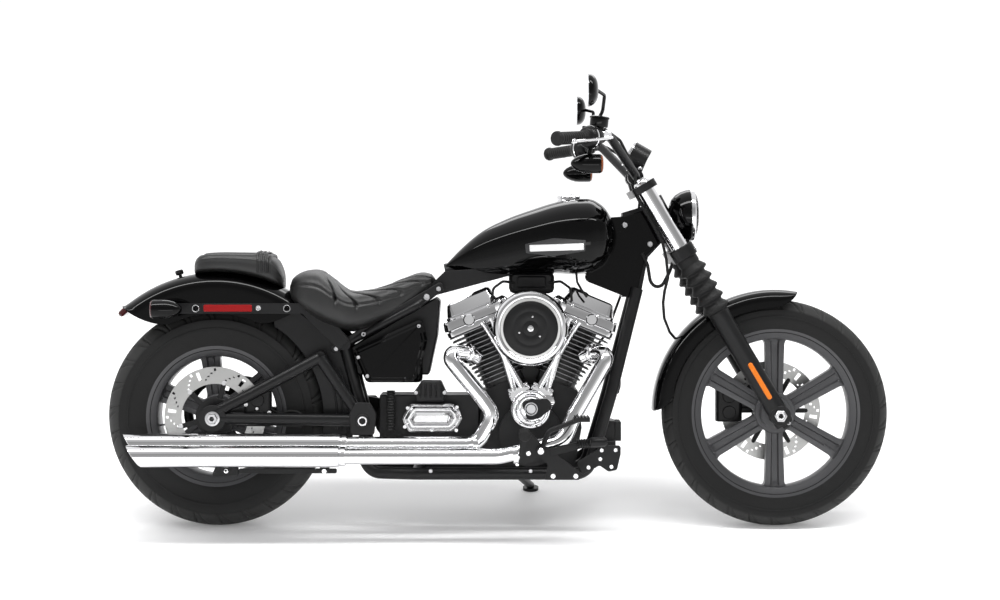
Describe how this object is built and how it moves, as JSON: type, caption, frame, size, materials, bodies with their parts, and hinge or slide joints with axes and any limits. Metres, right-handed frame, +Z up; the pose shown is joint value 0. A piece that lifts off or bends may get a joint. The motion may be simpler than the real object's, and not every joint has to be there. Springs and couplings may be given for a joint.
{
  "type": "cruiser motorcycle",
  "caption": "Air-cooled V-twin cruiser motorcycle parked on its side stand, with turning wheels, a steering fork and a folding stand",
  "frame": {"origin": "on the floor, under the middle of the box round the parked machine", "axes": "+X is forward, towards the front wheel; +Y is the rider's left, the side of the stand; +Z is up, away from the floor. The machine leans 12 degrees towards +Y."},
  "size_m": [2.2838, 0.9768, 1.3496],
  "materials": {
    "tyre": "matt black rubber",
    "wheel_grey": "satin dark grey paint on cast aluminium",
    "disc_steel": "ground steel",
    "paint_black": "deep gloss black paint",
    "satin_black": "satin black powder coat",
    "chrome": "polished chrome",
    "seat_vinyl": "black grained vinyl",
    "rubber": "black rubber",
    "lens_clear": "clear lens",
    "lens_red": "dark red lens"
  },
  "bodies": {
    "chassis": {"air_cleaner": "chrome", "brake_pedal": "satin_black", "cam_cover": "chrome", "crankcase": "satin_black", "drive_belt": "rubber", "filler_cap": "chrome", "foot_pegs": "satin_black", "frame_cradle": "satin_black", "frame_head": "satin_black", "front_cylinder": "satin_black", "front_exhaust": "chrome", "fuel_tank": "paint_black", "gear_lever": "satin_black", "gearbox": "satin_black", "gearbox_cover": "chrome", "mudguard_struts": "satin_black", "oil_tank": "paint_black", "pillion_pad": "seat_vinyl", "primary_cover": "chrome", "pushrod_tubes": "chrome", "rear_axle": "satin_black", "rear_caliper": "satin_black", "rear_cylinder": "satin_black", "rear_exhaust": "chrome", "rear_mudguard": "paint_black", "rear_shock": "satin_black", "rear_signals": "satin_black", "rocker_covers": "chrome", "seat": "seat_vinyl", "stand_bracket": "satin_black", "swingarm": "satin_black", "tail_lamp": "lens_red"},
    "fork": {"fork_tubes": "chrome", "fork_sliders": "satin_black", "fork_boots": "rubber", "lower_clamp": "satin_black", "upper_clamp": "satin_black", "handlebar": "satin_black", "grips": "rubber", "hand_controls": "satin_black", "mirrors": "satin_black", "front_signals": "satin_black", "instrument": "satin_black", "headlamp": "satin_black", "headlamp_lens": "lens_clear", "front_mudguard": "paint_black", "front_caliper": "satin_black", "front_axle": "satin_black"},
    "front_wheel": {"front_tyre": "tyre", "front_wheel_cast": "wheel_grey", "front_brake_disc": "disc_steel"},
    "rear_wheel": {"rear_tyre": "tyre", "rear_wheel_cast": "wheel_grey", "rear_brake_disc": "disc_steel", "rear_sprocket": "satin_black"},
    "side_stand": {"side_stand": "satin_black"}
  },
  "joints": [
    {"name": "steering", "type": "hinge", "parent": "chassis", "child": "fork", "pos_m": [0.5133, -0.04841, 0.8236], "axis": [-0.4695, 0.1836, 0.8637], "range_deg": [-34, 34]},
    {"name": "front_wheel_spin", "type": "hinge", "parent": "fork", "child": "front_wheel", "pos_m": [0.811, -0.1544, 0.32495], "axis": [0, 0.9781, -0.2079], "continuous": true},
    {"name": "rear_wheel_spin", "type": "hinge", "parent": "chassis", "child": "rear_wheel", "pos_m": [-0.819, -0.15592, 0.3178], "axis": [0, 0.9781, -0.2079], "continuous": true},
    {"name": "side_stand_fold", "type": "hinge", "parent": "chassis", "child": "side_stand", "pos_m": [0.056, -0.05588, 0.10546], "axis": [0, 0.4946, 0.8691], "range_deg": [0, 103.6]}
  ]
}
